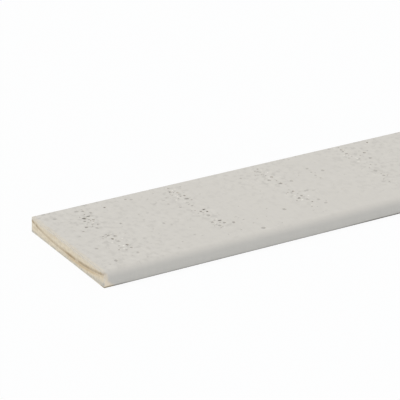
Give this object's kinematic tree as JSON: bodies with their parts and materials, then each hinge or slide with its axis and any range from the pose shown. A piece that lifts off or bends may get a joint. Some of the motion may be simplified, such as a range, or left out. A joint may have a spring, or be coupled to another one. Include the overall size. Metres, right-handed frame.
{
  "type": "cover strip",
  "caption": "Flat softwood trim strip, painted pale grey over a sawn face, with a rounded front edge, a flat back and raw cut ends; fixed over a joint to hide it.",
  "frame": {"origin": "middle of the flat back face, half way along the strip", "axes": "+X along the length, +Y across the width towards the square rear edge, so the rounded edge faces -Y, +Z from the back to the painted face"},
  "size_m": [2.4, 0.07, 0.008],
  "materials": {
    "painted_softwood": "matt pale warm grey paint on a sawn face and planed edges, bare softwood on the cut ends and the back"
  },
  "bodies": {
    "root": {"cover_strip": "painted_softwood"}
  },
  "joints": []
}
